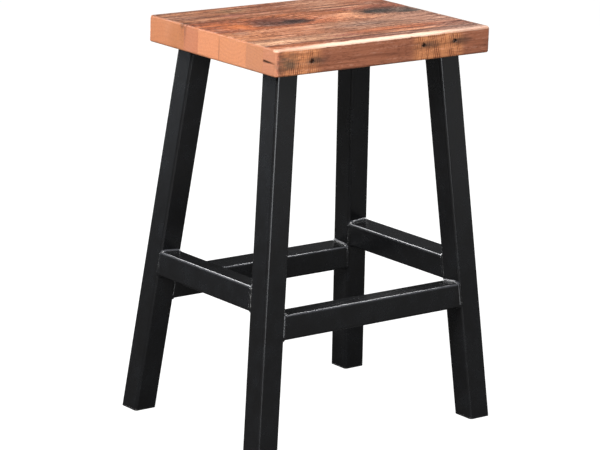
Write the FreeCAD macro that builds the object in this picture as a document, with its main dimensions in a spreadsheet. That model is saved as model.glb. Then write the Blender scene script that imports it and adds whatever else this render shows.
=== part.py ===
import FreeCAD, Part
import os
import Sketcher

# Counter-height stool: a seat glued up from six reclaimed boards, screwed to a welded base of
# square steel tube whose rails double as footrests.
# Millimetres and degrees, Z up, origin on the floor under the middle of the seat.
# The long sides are front (-Y) and back (+Y), the short sides are left (-X) and right (+X).

SIZES = (
    # alias, value, what it is
    ("stool_height", 609.6, "floor to the top of the seat"),
    ("seat_length", 403, "along X"),
    ("seat_depth", 311, "along Y"),
    ("seat_thickness", 40, "boards after sanding"),
    ("seat_corner", 5, "radius of the seat's upright corners"),
    ("seat_edge", 3, "radius of the sanded top and bottom edges"),
    ("board_1", 32, "board widths, from the front edge to the back edge"),
    ("board_2", 40, ""),
    ("board_3", 65, ""),
    ("board_4", 51, ""),
    ("board_5", 35, ""),
    ("board_6", 88, ""),
    ("nail_hole", 3.4, "old nail holes in the front board, diameter"),
    ("nail_depth", 12, "depth of the nail holes"),
    ("tube_side", 38.1, "square tube, outside"),
    ("tube_wall", 2.1, "14 gauge"),
    ("tube_corner", 4.4, "outside corner radius of the tube"),
    ("splay_side", 5.4, "lean of each leg towards left or right"),
    ("splay_front", 5.1, "lean of each leg towards front or back"),
    ("leg_inset_side", 30, "seat's end to the leg, at the seat"),
    ("leg_inset_front", 34, "seat's long edge to the leg, at the seat"),
    ("long_rail_height", 195, "centre line of the front and back rails"),
    ("short_rail_height", 234, "centre line of the left and right rails"),
    ("bar_thickness", 4.8, "flat bar under the seat"),
    ("screw_spacing", 105, "along the front and back bars"),
    ("bar_hole", 7, "clearance hole for a screw, diameter"),
    ("bar_slot", 14, "length of the slots that let the boards swell"),
    ("screw_shank", 5.5, "number 12 wood screw"),
    ("screw_grip", 26, "length of screw inside the wood"),
    ("screw_tip", 6, "length of the tapered tip"),
    ("screw_head", 10.5, "head diameter"),
    ("screw_head_height", 3.2, ""),
    ("recess_width", 1.4, "cross recess, width of one arm"),
    ("recess_span", 5.6, "cross recess, tip to tip"),
    ("recess_depth", 1.8, ""),
    ("washer_side", 14, "outside diameter"),
    ("washer_bore", 6, "inside diameter"),
    ("washer_thickness", 1.2, ""),
    ("glide_foot", 2.5, "plastic between the tube's end and the floor"),
    ("glide_plug", 16, "length of the plug inside the tube"),
    ("glide_gap", 0.15, "room between the plug and the tube, each side"),
    ("glide_wall", 2.2, "wall of the hollow plug"),
    ("weld_bead", 4.5, "radius of the beads at the rails"),
    ("weld_face_sink", 3.7, "how far a flush bead's centre lies under the face"),
    ("weld_top_sink", 0.6, "the same, on top of and under a rail"),
    ("top_weld_bead", 3.4, "radius of the beads under the flat bars"),
    ("top_weld_sink", 1.4, "how far their centre lies inside the leg"),
    ("weld_turn", 5, "corner radius of a bead's centre line"),
)

BOARDS = ("board_1", "board_2", "board_3", "board_4", "board_5", "board_6")

# Places of the old nail holes: distance from the middle of the seat, height above the floor.
NAIL_HOLES = ((-137, 588), (72, 592), (132, 593.5))

# Corner name, side along X, side along Y.
CORNERS = (
    ("front_left", -1, -1),
    ("front_right", 1, -1),
    ("back_left", -1, 1),
    ("back_right", 1, 1),
)

UNDER_SEAT = "(sizes.stool_height - sizes.seat_thickness)"
LEG_TOP = "(sizes.stool_height - sizes.seat_thickness - sizes.bar_thickness)"
LEG_MIDDLE = "(sizes.stool_height / 2)"

doc = FreeCAD.newDocument("stool")
sheet = doc.addObject("Spreadsheet::Sheet", "sizes")
finished = []


def fillSheet():
    for row, (alias, value, note) in enumerate(SIZES, 1):
        sheet.set(f"A{row}", alias)
        sheet.set(f"B{row}", str(value))
        sheet.set(f"C{row}", note)
        sheet.setAlias(f"B{row}", alias)
    doc.recompute()


def finish(shaped, label):
    """Names a finished sub-part; the label is also its file's name."""
    shaped.Label = label
    finished.append(shaped)
    return shaped


# ---------------------------------------------------------------- expressions

def leanX(side, height):
    """X of a leg's centre line at a height."""
    at_seat = "sizes.seat_length / 2 - sizes.leg_inset_side - sizes.tube_side / 2"
    return f"{side} * ({at_seat} + ({UNDER_SEAT} - ({height})) * tan(sizes.splay_side))"


def leanY(side, height):
    """Y of a leg's centre line at a height."""
    at_seat = "sizes.seat_depth / 2 - sizes.leg_inset_front - sizes.tube_side / 2"
    return f"{side} * ({at_seat} + ({UNDER_SEAT} - ({height})) * tan(sizes.splay_front))"


def place(x, y, z, turn="0; 0; 0"):
    return f"placement(vector({x}; {y}; {z}); rotation({turn}))"


def legTurn(side_x, side_y):
    """Yaw, pitch and roll that lean an upright tube like the leg at this corner."""
    pitch = f"{-side_x} * sizes.splay_side"
    roll = f"{side_y} * atan(tan(sizes.splay_front) * cos(sizes.splay_side))"
    return f"0; {pitch}; {roll}"


def legPlace(side_x, side_y, height=LEG_MIDDLE):
    return place(leanX(side_x, height), leanY(side_y, height), height, legTurn(side_x, side_y))


# ---------------------------------------------------------------- basic shapes

def addBody(name, placement=None):
    body = doc.addObject("PartDesign::Body", name)
    if placement:
        body.setExpression("Placement", placement)
    return body


def addSketch(body, plane, name):
    sketch = body.newObject("Sketcher::SketchObject", name)
    origin_plane = [part for part in body.Origin.OriginFeatures if part.Role == plane][0]
    sketch.AttachmentSupport = [(origin_plane, "")]
    sketch.MapMode = "FlatFace"
    return sketch


def bind(sketch, constraint, name, expression):
    index = sketch.addConstraint(constraint)
    sketch.renameConstraint(index, name)
    sketch.setExpression(f"Constraints.{name}", expression)


def roundedRectangle(sketch, name, width, height, radius):
    """A centred rectangle with round corners; the three sizes are expressions."""
    x, y, r = 20.0, 15.0, 3.0   # drawn at this size first, then driven to the real one
    vector = FreeCAD.Vector
    lines = (
        (vector(r - x, -y), vector(x - r, -y)),
        (vector(x, r - y), vector(x, y - r)),
        (vector(x - r, y), vector(r - x, y)),
        (vector(-x, y - r), vector(-x, r - y)),
    )
    centres = (vector(x - r, r - y), vector(x - r, y - r), vector(r - x, y - r), vector(r - x, r - y))
    first = sketch.GeometryCount
    for start, end in lines:
        sketch.addGeometry(Part.LineSegment(start, end))
    quarter = FreeCAD.Units.parseQuantity("90 deg").getValueAs("rad").Value
    for corner, centre in enumerate(centres):
        circle = Part.Circle(centre, vector(0, 0, 1), r)
        start = (corner - 1) * quarter
        sketch.addGeometry(Part.ArcOfCircle(circle, start, start + quarter))
    for corner in range(4):
        line, arc, following = first + corner, first + 4 + corner, first + (corner + 1) % 4
        sketch.addConstraint(Sketcher.Constraint("Tangent", line, 2, arc, 1))
        sketch.addConstraint(Sketcher.Constraint("Tangent", arc, 2, following, 1))
        sketch.addConstraint(Sketcher.Constraint(("Horizontal", "Vertical")[corner % 2], line))
        if corner:
            sketch.addConstraint(Sketcher.Constraint("Equal", first + 4, arc))
    sketch.addConstraint(Sketcher.Constraint("Symmetric", first + 5, 3, first + 7, 3, -1, 1))
    bind(sketch, Sketcher.Constraint("DistanceX", first + 3, 1, first + 1, 1, 2 * x), f"{name}_width", width)
    bind(sketch, Sketcher.Constraint("DistanceY", first, 1, first + 2, 1, 2 * y), f"{name}_height", height)
    bind(sketch, Sketcher.Constraint("Radius", first + 4, r), f"{name}_radius", radius)


def symmetricPad(body, sketch, length):
    pad = body.newObject("PartDesign::Pad", f"{body.Name}_pad")
    pad.Profile = sketch
    pad.SideType = "Symmetric"
    pad.setExpression("Length", length)
    sketch.Visibility = False
    return pad


def squareBar(name, plane, placement, length, hollow=False):
    """A length of the square tube, solid or hollow, centred on its own origin."""
    body = addBody(name, placement)
    sketch = addSketch(body, plane, f"{name}_section")
    roundedRectangle(sketch, "outside", "sizes.tube_side", "sizes.tube_side", "sizes.tube_corner")
    if hollow:
        bore = "sizes.tube_side - 2 * sizes.tube_wall"
        roundedRectangle(sketch, "inside", bore, bore, "sizes.tube_corner - sizes.tube_wall")
    symmetricPad(body, sketch, length)
    return body


def slab(name, bottom, top):
    """Everything between two levels."""
    box = doc.addObject("Part::Box", name)
    box.setExpression("Length", "2 * sizes.seat_length")
    box.setExpression("Width", "2 * sizes.seat_length")
    box.setExpression("Height", f"({top}) - ({bottom})")
    box.setExpression("Placement", place("-sizes.seat_length", "-sizes.seat_length", bottom))
    return box


def cylinder(name, diameter, length, placement):
    round_bar = doc.addObject("Part::Cylinder", name)
    round_bar.setExpression("Radius", f"({diameter}) / 2")
    round_bar.setExpression("Height", length)
    round_bar.setExpression("Placement", placement)
    return round_bar


def cut(name, base, *tools):
    """base with each tool cut away in turn."""
    for number, tool in enumerate(tools, 1):
        result = doc.addObject("Part::Cut", f"{name}_cut_{number}")
        result.Base = base
        result.Tool = tool
        base = result
    return base


def common(name, *shapes):
    result = doc.addObject("Part::MultiCommon", name)
    result.Shapes = list(shapes)
    return result


def fuse(name, *shapes):
    result = doc.addObject("Part::MultiFuse", name)
    result.Shapes = list(shapes)
    return result


def copies(name, original, placements):
    """The same piece at several places, as separate solids in one sub-part."""
    links = []
    for number, placement in enumerate(placements, 1):
        link = doc.addObject("App::Link", f"{name}_{number}")
        link.LinkedObject = original
        link.LinkTransform = False
        link.setExpression("Placement", placement)
        links.append(link)
    group = doc.addObject("Part::Compound", name)
    group.Links = links
    return group


# ---------------------------------------------------------------- seat

def screwPlaces():
    """X and Y of the eight seat screws, and whether the hole is a slot."""
    at_leg = "sizes.seat_depth / 2 - sizes.leg_inset_front - sizes.tube_side / 2"
    at_end = "sizes.seat_length / 2 - sizes.leg_inset_side - sizes.tube_side / 2"
    places = []
    for side in (-1, 1):
        for step in (-1, 0, 1):
            places.append((f"{step} * sizes.screw_spacing", f"{side} * ({at_leg})", False))
    for side in (-1, 1):
        places.append((f"{side} * ({at_end})", "0", True))
    return places


def makeSeat():
    """One planed and sanded blank, divided at its glue lines into the boards."""
    blank = addBody("seat_blank", place(0, 0, f"{UNDER_SEAT} + sizes.seat_thickness / 2"))
    outline = addSketch(blank, "XY_Plane", "seat_outline")
    roundedRectangle(outline, "seat", "sizes.seat_length", "sizes.seat_depth", "sizes.seat_corner")
    pad = symmetricPad(blank, outline, "sizes.seat_thickness")
    doc.recompute()
    eased = blank.newObject("PartDesign::Fillet", "sanded_edges")
    rims = []
    for number, edge in enumerate(pad.Shape.Edges, 1):
        if edge.BoundBox.ZLength < 0.001:
            rims.append(f"Edge{number}")
    eased.Base = (pad, rims)
    eased.setExpression("Radius", "sizes.seat_edge")

    pilots = []
    for number, (x, y, _) in enumerate(screwPlaces(), 1):
        depth = "sizes.screw_grip + 1"
        pilots.append(cylinder(f"pilot_hole_{number}", "sizes.screw_shank", depth, place(x, y, UNDER_SEAT)))
    nails = []
    for number, (x, height) in enumerate(NAIL_HOLES, 1):
        spot = place(x, "-sizes.seat_depth / 2 - 1", height, "0; 0; -90")
        nails.append(cylinder(f"nail_hole_{number}", "sizes.nail_hole", "sizes.nail_depth + 1", spot))
    drilled = cut("seat_drilled", blank, fuse("all_pilot_holes", *pilots), fuse("all_nail_holes", *nails))

    edge = "-sizes.seat_depth / 2"
    for alias in BOARDS:
        piece = doc.addObject("Part::Box", f"{alias}_space")
        piece.setExpression("Length", "2 * sizes.seat_length")
        piece.setExpression("Width", f"sizes.{alias}")
        piece.setExpression("Height", "2 * sizes.seat_thickness")
        lower = f"{UNDER_SEAT} - sizes.seat_thickness / 2"
        piece.setExpression("Placement", place("-sizes.seat_length", edge, lower))
        finish(common(f"{alias}_shape", drilled, piece), f"seat_{alias}")
        edge = f"{edge} + sizes.{alias}"


# ---------------------------------------------------------------- welded base

def makeLegs(level_cut):
    """Hollow legs cut level at both ends; returns their solid forms for cutting the welds."""
    solids = {}
    for corner, side_x, side_y in CORNERS:
        spot = legPlace(side_x, side_y)
        tube = squareBar(f"leg_tube_{corner}", "XY_Plane", spot, "1.1 * sizes.stool_height", hollow=True)
        finish(common(f"leg_cut_{corner}", tube, level_cut), f"leg_{corner}")
        solid = squareBar(f"leg_solid_{corner}", "XY_Plane", spot, "1.1 * sizes.stool_height")
        solids[corner] = solid
    return solids


def makeRails(leg_solids):
    """Rails cut square to the faces of the legs that they are welded to, and their beads."""
    long_length = "sizes.seat_length - 2 * sizes.leg_inset_side + sizes.tube_side"
    short_length = "sizes.seat_depth - 2 * sizes.leg_inset_front + sizes.tube_side"
    rails = (
        # name, sketch plane, height, length, direction along X or Y, side
        ("front", "YZ_Plane", "sizes.long_rail_height", long_length, "X", -1),
        ("back", "YZ_Plane", "sizes.long_rail_height", long_length, "X", 1),
        ("left", "XZ_Plane", "sizes.short_rail_height", short_length, "Y", -1),
        ("right", "XZ_Plane", "sizes.short_rail_height", short_length, "Y", 1),
    )
    long_beads = {}
    for name, plane, height, length, along, side in rails:
        if along == "X":
            spot = place(0, leanY(side, height), height, f"0; 0; {side} * sizes.splay_front")
            ends = [corner for corner in CORNERS if corner[2] == side]
        else:
            spot = place(leanX(side, height), 0, height, f"0; {-side} * sizes.splay_side; 0")
            ends = [corner for corner in CORNERS if corner[1] == side]
        tube = squareBar(f"rail_tube_{name}", plane, spot, length, hollow=True)
        solid = squareBar(f"rail_solid_{name}", plane, spot, length)
        notches = []
        for corner, side_x, side_y in ends:
            notches.append(endCut(f"end_cut_{name}_{corner}", along, legPlace(side_x, side_y, height)))
        finish(cut(f"rail_{name}", tube, *notches), f"rail_{name}")

        beads = []
        for corner, side_x, side_y in ends:
            ring = weldRing(f"bead_{name}_{corner}", along, side_x, side_y, height)
            tools = [leg_solids[corner], solid]
            if along == "Y":
                tools.append(long_beads[corner])
            bead = cut(f"bead_{name}_{corner}", ring, *tools)
            if along == "X":
                long_beads[corner] = bead
            beads.append(bead)
        group = doc.addObject("Part::Compound", f"beads_{name}")
        group.Links = beads
        finish(group, f"weld_rail_{name}")


def endCut(name, along, leg_place):
    """A block whose faces across the rail lie in the leg's faces, so the rail's end is one flat cut."""
    block = doc.addObject("Part::Box", name)
    wide = "2 * sizes.tube_side"
    length, width = ("sizes.tube_side", wide) if along == "X" else (wide, "sizes.tube_side")
    block.setExpression("Length", length)
    block.setExpression("Width", width)
    block.setExpression("Height", "3 * sizes.tube_side")
    centre = place(f"-({length}) / 2", f"-({width}) / 2", "-1.5 * sizes.tube_side")
    block.setExpression("Placement", f"{leg_place} * {centre}")
    return block


def weldRing(name, along, side_x, side_y, height):
    """A round bead laid all the way round a rail's end, on the face of the leg."""
    x, y = leanX(side_x, height), leanY(side_y, height)
    if along == "X":
        plane = "YZ_Plane"
        x = f"{x} - {side_x} * sizes.tube_side / 2 / cos(sizes.splay_side)"
    else:
        plane = "XZ_Plane"
        y = f"{y} - {side_y} * sizes.tube_side / 2 / cos(sizes.splay_front)"
    spot = place(x, y, height, legTurn(side_x, side_y))
    width = "sizes.tube_side - 2 * sizes.weld_face_sink"
    tall = "sizes.tube_side - 2 * sizes.weld_top_sink"
    return beadLoop(name, plane, spot, width, tall, "sizes.weld_bead")


def beadLoop(name, plane, spot, width, height, radius):
    """A closed round bead whose centre line is a rounded rectangle on one of its body's planes."""
    crossing, across_x = {
        "YZ_Plane": ("XY_Plane", False),
        "XZ_Plane": ("XY_Plane", True),
        "XY_Plane": ("XZ_Plane", True),
    }[plane]
    body = addBody(f"{name}_loop", spot)
    path = addSketch(body, plane, f"{name}_path")
    roundedRectangle(path, "path", width, height, "sizes.weld_turn")
    section = addSketch(body, crossing, f"{name}_section")
    centre, distance, axis = (FreeCAD.Vector(0, 15, 0), "DistanceY", -2)
    if across_x:
        centre, distance, axis = (FreeCAD.Vector(15, 0, 0), "DistanceX", -1)
    circle = section.addGeometry(Part.Circle(centre, FreeCAD.Vector(0, 0, 1), 2))
    bind(section, Sketcher.Constraint("Radius", circle, 2.0), "radius", radius)
    bind(section, Sketcher.Constraint(distance, -1, 1, circle, 3, 15.0), "reach", f"({width}) / 2")
    section.addConstraint(Sketcher.Constraint("PointOnObject", circle, 3, axis))
    pipe = body.newObject("PartDesign::AdditivePipe", f"{name}_pipe")
    pipe.Profile = section
    pipe.Spine = path
    return body


# ---------------------------------------------------------------- flat bars under the seat

def makeSeatBars(leg_solids):
    """Two long bars over the legs and two short bars between them, drilled for the screws."""
    middle = f"{LEG_TOP} + sizes.bar_thickness / 2"
    long_length = "sizes.seat_length - 2 * sizes.leg_inset_side"
    short_length = "sizes.seat_depth - 2 * sizes.leg_inset_front - 2 * sizes.tube_side"
    at_leg = "sizes.seat_depth / 2 - sizes.leg_inset_front - sizes.tube_side / 2"
    at_end = "sizes.seat_length / 2 - sizes.leg_inset_side - sizes.tube_side / 2"
    bars = (
        # name, length along X, width along Y, centre
        ("front", long_length, "sizes.tube_side", "0", f"-({at_leg})"),
        ("back", long_length, "sizes.tube_side", "0", at_leg),
        ("left", "sizes.tube_side", short_length, f"-({at_end})", "0"),
        ("right", "sizes.tube_side", short_length, at_end, "0"),
    )
    whole_bars = []
    for name, length, width, x, y in bars:
        bar = doc.addObject("Part::Box", f"bar_blank_{name}")
        bar.setExpression("Length", length)
        bar.setExpression("Width", width)
        bar.setExpression("Height", "sizes.bar_thickness")
        bar.setExpression("Placement", place(f"{x} - ({length}) / 2", f"{y} - ({width}) / 2", LEG_TOP))
        whole_bars.append(bar)
        holes = barHoles(name, x, y, middle)
        finish(cut(f"bar_{name}", bar, *holes), f"seat_bar_{name}")

    all_bars = fuse("all_bars", *whole_bars)
    beads = []
    for corner, side_x, side_y in CORNERS:
        spot = place(leanX(side_x, LEG_TOP), leanY(side_y, LEG_TOP), LEG_TOP)
        side = "sizes.tube_side - 2 * sizes.top_weld_sink"
        ring = beadLoop(f"top_bead_{corner}", "XY_Plane", spot, side, side, "sizes.top_weld_bead")
        beads.append(cut(f"top_bead_{corner}", ring, leg_solids[corner], all_bars))
    group = doc.addObject("Part::Compound", "top_beads")
    group.Links = beads
    finish(group, "weld_seat_bars")


def barHoles(name, x, y, middle):
    """Round holes along a long bar, or one slot across the grain in a short bar."""
    below = f"{middle} - sizes.bar_thickness"
    through = "2 * sizes.bar_thickness"
    if name in ("front", "back"):
        holes = []
        for step in (-1, 0, 1):
            spot = place(f"{step} * sizes.screw_spacing", y, below)
            holes.append(cylinder(f"hole_{name}_{step + 2}", "sizes.bar_hole", through, spot))
        return holes
    ends = []
    for step in (-1, 1):
        spot = place(x, f"{step} * (sizes.bar_slot - sizes.bar_hole) / 2", below)
        ends.append(cylinder(f"slot_end_{name}_{(step + 3) // 2}", "sizes.bar_hole", through, spot))
    waist = doc.addObject("Part::Box", f"slot_waist_{name}")
    waist.setExpression("Length", "sizes.bar_hole")
    waist.setExpression("Width", "sizes.bar_slot - sizes.bar_hole")
    waist.setExpression("Height", through)
    waist_y = "-(sizes.bar_slot - sizes.bar_hole) / 2"
    waist.setExpression("Placement", place(f"{x} - sizes.bar_hole / 2", waist_y, below))
    return [fuse(f"slot_{name}", waist, *ends)]


# ---------------------------------------------------------------- fasteners and feet

def makeScrews():
    """A pan-head wood screw and a washer, repeated at each hole in the bars."""
    shank_length = "sizes.bar_thickness + sizes.washer_thickness + sizes.screw_grip - sizes.screw_tip"
    under_head = "-sizes.bar_thickness - sizes.washer_thickness"
    shank = cylinder("screw_body", "sizes.screw_shank", shank_length, place(0, 0, under_head))
    tip = doc.addObject("Part::Cone", "screw_point")
    tip.setExpression("Radius1", "sizes.screw_shank / 2")
    tip.setExpression("Radius2", "0.3")
    tip.setExpression("Height", "sizes.screw_tip")
    tip.setExpression("Placement", place(0, 0, "sizes.screw_grip - sizes.screw_tip"))
    bottom = f"{under_head} - sizes.screw_head_height"
    head = cylinder("screw_head_blank", "sizes.screw_head", "sizes.screw_head_height", place(0, 0, bottom))
    doc.recompute()
    dome = doc.addObject("Part::Fillet", "screw_head_dome")
    dome.Base = head
    lowest = head.Shape.BoundBox.ZMin + 0.1
    rim = [number for number, edge in enumerate(head.Shape.Edges, 1) if edge.BoundBox.ZMax < lowest]
    dome.Edges = [(number, 2.0, 2.0) for number in rim]
    arms = []
    arm_sizes = (("recess_span", "recess_width"), ("recess_width", "recess_span"))
    for number, (length, width) in enumerate(arm_sizes, 1):
        arm = doc.addObject("Part::Box", f"recess_arm_{number}")
        arm.setExpression("Length", f"sizes.{length}")
        arm.setExpression("Width", f"sizes.{width}")
        arm.setExpression("Height", "sizes.recess_depth")
        arm.setExpression("Placement", place(f"-sizes.{length} / 2", f"-sizes.{width} / 2", bottom))
        arms.append(arm)
    screw = cut("screw", fuse("screw_blank", shank, tip, dome), fuse("recess", *arms))

    seat = place(0, 0, under_head)
    disc = cylinder("washer_disc", "sizes.washer_side", "sizes.washer_thickness", seat)
    bore = cylinder("washer_hole", "sizes.washer_bore", "sizes.washer_thickness", seat)
    washer = cut("washer", disc, bore)

    spots = [place(x, y, UNDER_SEAT) for x, y, _ in screwPlaces()]
    finish(copies("screws", screw, spots), "seat_screws")
    finish(copies("washers", washer, spots), "screw_washers")


def makeGlides(leg_solids):
    """Plastic feet: a flat pad as wide as the tube, and a hollow plug that sits in it."""
    pad_level = slab("glide_pad_level", "0", "sizes.glide_foot")
    plug_level = slab("glide_plug_level", "sizes.glide_foot", "sizes.glide_foot + sizes.glide_plug")
    outside = "sizes.tube_side - 2 * sizes.tube_wall - 2 * sizes.glide_gap"
    inside = f"{outside} - 2 * sizes.glide_wall"
    for corner, side_x, side_y in CORNERS:
        pad = common(f"glide_pad_{corner}", leg_solids[corner], pad_level)
        stem = addBody(f"glide_stem_{corner}", legPlace(side_x, side_y, "sizes.glide_foot"))
        section = addSketch(stem, "XY_Plane", f"glide_section_{corner}")
        roundedRectangle(section, "outside", outside, outside, "sizes.tube_corner - sizes.tube_wall")
        roundedRectangle(section, "inside", inside, inside, "1")
        symmetricPad(stem, section, "3 * sizes.glide_plug")
        plug = common(f"glide_plug_{corner}", stem, plug_level)
        finish(fuse(f"glide_{corner}", pad, plug), f"foot_glide_{corner}")


# ---------------------------------------------------------------- build, check, write

def checkAll():
    doc.recompute()
    for item in doc.Objects:
        bad = [state for state in item.State if state in ("Invalid", "Error")]
        if bad:
            raise RuntimeError(f"{item.Label} is {bad}")
    for item in finished:
        shape = item.Shape
        if shape.isNull() or not shape.isValid() or not shape.Solids:
            raise RuntimeError(f"{item.Label} has no valid solid")
        volumes = ", ".join(f"{solid.Volume:.0f}" for solid in shape.Solids)
        print(f"{item.Label}: {volumes} mm3")


def writeParts():
    os.makedirs("parts", exist_ok=True)
    for item in finished:
        item.Shape.exportStep(f"parts/{item.Label}.step")


fillSheet()
makeSeat()
legs = makeLegs(slab("level_cut", "sizes.glide_foot", LEG_TOP))
makeRails(legs)
makeSeatBars(legs)
makeScrews()
makeGlides(legs)
checkAll()
writeParts()
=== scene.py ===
import math
import random
from collections import namedtuple

import bmesh
import bpy
from mathutils import Matrix, Vector, geometry, noise


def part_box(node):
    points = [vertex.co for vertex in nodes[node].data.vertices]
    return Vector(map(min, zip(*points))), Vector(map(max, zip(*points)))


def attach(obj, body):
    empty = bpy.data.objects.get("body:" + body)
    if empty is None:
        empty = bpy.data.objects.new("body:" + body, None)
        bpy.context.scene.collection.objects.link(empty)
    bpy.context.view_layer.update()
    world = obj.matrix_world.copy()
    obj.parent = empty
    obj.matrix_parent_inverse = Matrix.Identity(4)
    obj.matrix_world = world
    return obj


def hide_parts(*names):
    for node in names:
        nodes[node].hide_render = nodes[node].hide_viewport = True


# Counter stool: a reclaimed wood seat glued up from six boards, on a welded frame of square tube
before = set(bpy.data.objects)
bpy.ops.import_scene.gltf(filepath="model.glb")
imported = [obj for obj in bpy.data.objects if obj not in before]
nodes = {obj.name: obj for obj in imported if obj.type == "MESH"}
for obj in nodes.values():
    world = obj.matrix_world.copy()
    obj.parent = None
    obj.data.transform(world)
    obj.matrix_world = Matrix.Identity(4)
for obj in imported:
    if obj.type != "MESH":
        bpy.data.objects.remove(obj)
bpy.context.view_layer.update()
scene = bpy.context.scene
random.seed(24)
corners = ("front_left", "front_right", "back_left", "back_right")
mm = 0.001


# small tools for meshes

def everything(bm):
    return bm.verts[:] + bm.edges[:] + bm.faces[:]


def block(low, high):
    bm = bmesh.new()
    bmesh.ops.create_cube(bm, size=1)
    bmesh.ops.scale(bm, vec=high - low, verts=bm.verts)
    bmesh.ops.translate(bm, vec=(low + high) / 2, verts=bm.verts)
    return bm


def roundEdges(bm, edges, radius, segments):
    bmesh.ops.bevel(bm, geom=edges, offset=radius, offset_type="OFFSET", segments=segments,
                    profile=0.5, affect="EDGES", material=-1, clamp_overlap=False)


def trim(bm, point, outward, close):
    # close is bridge for a wall with two rims, fill for a solid
    cut = bmesh.ops.bisect_plane(bm, geom=everything(bm), dist=1e-7, plane_co=point,
                                 plane_no=outward, clear_outer=True)
    rim = [e for e in cut["geom_cut"] if isinstance(e, bmesh.types.BMEdge)]
    if close == "bridge":
        bmesh.ops.bridge_loops(bm, edges=rim)
    else:
        bmesh.ops.contextual_create(bm, geom=rim)
    return rim


def sliceUp(bm, axis, first, last, step):
    # cuts all the faces across one axis at even steps, so that they can be worn and dented
    direction = Vector((axis == 0, axis == 1, axis == 2))
    count = max(1, round((last - first) / step))
    for number in range(1, count):
        place = first + (last - first) * number / count
        bmesh.ops.bisect_plane(bm, geom=everything(bm), dist=1e-6, plane_co=direction * place,
                               plane_no=direction)


def addObject(name, data):
    made = bpy.data.objects.new(name, data)
    scene.collection.objects.link(made)
    return made


def meshFrom(bm, name):
    mesh = bpy.data.meshes.new(name)
    bm.to_mesh(mesh)
    bm.free()
    return mesh


def levelCentre(node, height, reach=0.2 * mm):
    # the middle of a node's section at one level
    ring = [v.co for v in nodes[node].data.vertices if abs(v.co.z - height) < reach]
    return (Vector(map(min, *ring)) + Vector(map(max, *ring))) / 2


def finishPiece(bm, name, material, replaced):
    mesh = meshFrom(bm, name)
    mesh.shade_smooth()
    mesh.materials.append(material)
    piece = addObject(name, mesh)
    piece.modifiers.new("Flat faces stay flat", "WEIGHTED_NORMAL").keep_sharp = True
    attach(piece, "root")
    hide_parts(*replaced)


def drawnMesh(thing):
    bpy.context.view_layer.update()
    return bpy.data.meshes.new_from_object(thing.evaluated_get(bpy.context.evaluated_depsgraph_get()))


def carve(bm, cutters):
    # takes the cutters' shapes out of a closed mesh
    solid = addObject("carved", meshFrom(bm.copy(), "carved"))
    spent = [solid]
    for cutter in cutters:
        tool = addObject("cutter", meshFrom(cutter, "cutter"))
        cut = solid.modifiers.new("Cut", "BOOLEAN")
        cut.operation = "DIFFERENCE"
        cut.solver = "EXACT"
        cut.object = tool
        spent.append(tool)
    result = drawnMesh(solid)
    bm.clear()
    bm.from_mesh(result)
    for used in spent:
        bpy.data.objects.remove(used)


# small tools for materials

def paint(red, green, blue):
    # a colour as it looks on screen, made linear
    linear = []
    for part in (red, green, blue):
        part /= 255
        linear.append(part / 12.92 if part <= 0.04045 else ((part + 0.055) / 1.055) ** 2.4)
    return (*linear, 1.0)


def feed(socket, value):
    if isinstance(value, bpy.types.NodeSocket):
        socket.id_data.links.new(value, socket)
    else:
        socket.default_value = value


def addNode(tree, kind, inputs=None, **settings):
    made = tree.nodes.new("ShaderNode" + kind)
    for name, value in settings.items():
        setattr(made, name, value)
    for socket, value in (inputs or {}).items():
        feed(made.inputs[socket], value)
    return made


def after(kind, inputs, **settings):
    # adds a node to the tree that its inputs come from
    tree = next(value.id_data for value in inputs.values() if isinstance(value, bpy.types.NodeSocket))
    return addNode(tree, kind, inputs, **settings)


def math2(operation, first, second=0.0, clamp=False):
    return after("Math", {0: first, 1: second}, operation=operation, use_clamp=clamp).outputs[0]


def plus(first, second):
    return math2("ADD", first, second)


def minus(first, second, clamp=False):
    return math2("SUBTRACT", first, second, clamp)


def times(first, second):
    return math2("MULTIPLY", first, second)


def vectorMath(operation, first, second=(0, 0, 0)):
    made = after("VectorMath", {0: first, 1: second}, operation=operation)
    return made.outputs["Value" if operation == "LENGTH" else "Vector"]


def mixColor(amount, first, second, blend="MIX"):
    made = after("Mix", {0: amount, 6: first, 7: second}, data_type="RGBA", blend_type=blend)
    made.clamp_factor = True
    return made.outputs[2]


def fade(value, start, end, low=0.0, high=1.0):
    # low up to start, high from end on, and smooth between
    return after("MapRange", {0: value, 1: start, 2: end, 3: low, 4: high},
                 interpolation_type="SMOOTHSTEP").outputs[0]


def spread(value, start=0.0, end=1.0, low=0.0, high=1.0):
    # as fade, but straight between
    return after("MapRange", {0: value, 1: start, 2: end, 3: low, 4: high}).outputs[0]


def split(vector):
    return after("SeparateXYZ", {0: vector}).outputs


def cloud(vector, scale, detail=2.0, roughness=0.5):
    return after("TexNoise", {"Vector": vector, "Scale": scale, "Detail": detail,
                              "Roughness": roughness}).outputs[0]


def stretched(vector, scale):
    return after("Mapping", {"Vector": vector, "Scale": scale}).outputs[0]


def ramp(value, stops):
    # stops are (place, colour)
    made = after("ValToRGB", {0: value})
    made.color_ramp.interpolation = "EASE"
    band = made.color_ramp.elements
    while len(band) < len(stops):
        band.new(0.5)
    for element, (place, colour) in zip(band, stops):
        element.position = place
        element.color = colour
    return made.outputs[0]


def newGroup(name, inputs, outputs):
    # a node group; its inputs have starting values and follow the Vector that every group has
    tree = bpy.data.node_groups.new(name, "ShaderNodeTree")
    for label, value in {"Vector": (0, 0, 0), **inputs}.items():
        kind = "NodeSocketVector" if isinstance(value, tuple) else "NodeSocketFloat"
        tree.interface.new_socket(label, in_out="INPUT", socket_type=kind).default_value = value
    for label in outputs:
        tree.interface.new_socket(label, in_out="OUTPUT", socket_type="NodeSocketFloat")
    start = tree.nodes.new("NodeGroupInput")
    end = tree.nodes.new("NodeGroupOutput")
    return tree, start.outputs, end.inputs


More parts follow.
